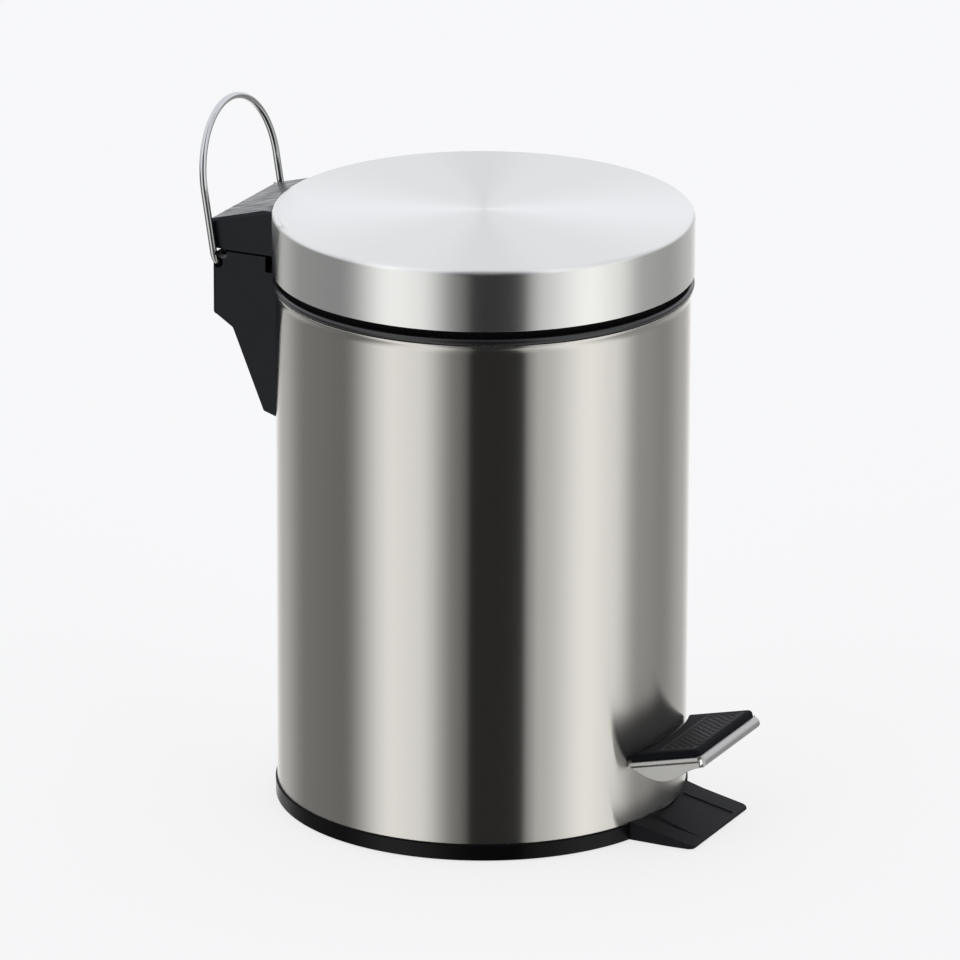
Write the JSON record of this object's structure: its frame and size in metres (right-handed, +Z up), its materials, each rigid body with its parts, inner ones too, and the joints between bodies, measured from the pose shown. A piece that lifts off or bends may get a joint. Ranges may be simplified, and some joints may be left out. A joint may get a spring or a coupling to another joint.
{
  "type": "pedal trash can",
  "caption": "Round pedal bin with a brushed steel body and lid, black plastic base, rim ring and hinge housing, a wire handle and a lift-out bucket.",
  "frame": {"origin": "on the floor, under the axis of the round body", "axes": "+Z up along the body's axis; the pedal points to -Y and the hinge is at +Y; +X is to the right of someone who faces the hinge from the pedal"},
  "size_m": [0.1728, 0.2327, 0.2857],
  "materials": {
    "body_steel": "fine brushing round the body",
    "lid_steel": "fine brushing in circles",
    "pedal_steel": "satin",
    "base_plastic": "gloss",
    "rim_plastic": "satin",
    "housing_plastic": "fine moulded texture",
    "liner_plastic": "plain moulded",
    "bucket_plastic": "plain moulded",
    "grip_plastic": "plain moulded",
    "chrome_wire": "polished",
    "plated_wire": "bright zinc",
    "zinc_steel": "dull zinc",
    "zinc_screws": "dull zinc",
    "rubber": "matte",
    "pad_rubber": "matte, with a moulded grip pattern"
  },
  "bodies": {
    "root": {"base": "base_plastic", "feet": "rubber", "outer_shell": "body_steel", "rim_ring": "rim_plastic", "hinge_bracket": "housing_plastic", "bracket_screws": "zinc_screws", "hinge_pin": "plated_wire", "pivot_bracket": "zinc_steel", "pivot_pin": "plated_wire", "pivot_clip": "zinc_steel", "pivot_screws": "zinc_screws", "rod_guide": "liner_plastic", "lever_buffer": "rubber", "pedal_stop": "rubber"},
    "lid": {"lid_shell": "lid_steel", "lid_liner": "liner_plastic", "lid_bumpers": "rubber", "hinge_cover": "housing_plastic", "cover_screws": "zinc_screws"},
    "pedal": {"pedal_lever": "pedal_steel", "pedal_pad": "pad_rubber"},
    "rod": {"push_rod": "plated_wire", "rod_clips": "zinc_steel"},
    "carry_handle": {"carry_bail": "chrome_wire"},
    "bucket": {"inner_bucket": "bucket_plastic"},
    "bucket_handle": {"bucket_bail": "plated_wire", "bucket_grip": "grip_plastic"}
  },
  "joints": [
    {"name": "pedal_hinge", "type": "hinge", "parent": "root", "child": "pedal", "pos_m": [0, -0.022, 0.0226], "axis": [1, 0, 0], "range_deg": [0, 9.25]},
    {"name": "lid_hinge", "type": "hinge", "parent": "root", "child": "lid", "pos_m": [0, 0.1055, 0.2326], "axis": [-1, 0, 0], "range_deg": [0, 64]},
    {"name": "rod_slide", "type": "slide", "parent": "root", "child": "rod", "axis": [0, 0, 1], "range_m": [0, 0.01623]},
    {"name": "carry_handle_hinge", "type": "hinge", "parent": "root", "child": "carry_handle", "pos_m": [0, 0.1069, 0.2229], "axis": [-1, 0, 0], "range_deg": [0, 169]},
    {"name": "bucket_lift", "type": "slide", "parent": "root", "child": "bucket", "axis": [0, 0, 1], "range_m": [0, 0.012]},
    {"name": "bucket_handle_hinge", "type": "hinge", "parent": "bucket", "child": "bucket_handle", "pos_m": [0, 0, 0.214], "axis": [-1, 0, 0], "range_deg": [0, 15]}
  ],
  "couplings": [
    {"joint": "lid_hinge", "follows": "pedal_hinge", "ratio": 6.9185},
    {"joint": "rod_slide", "follows": "pedal_hinge", "m_per_rad": 0.1005}
  ]
}
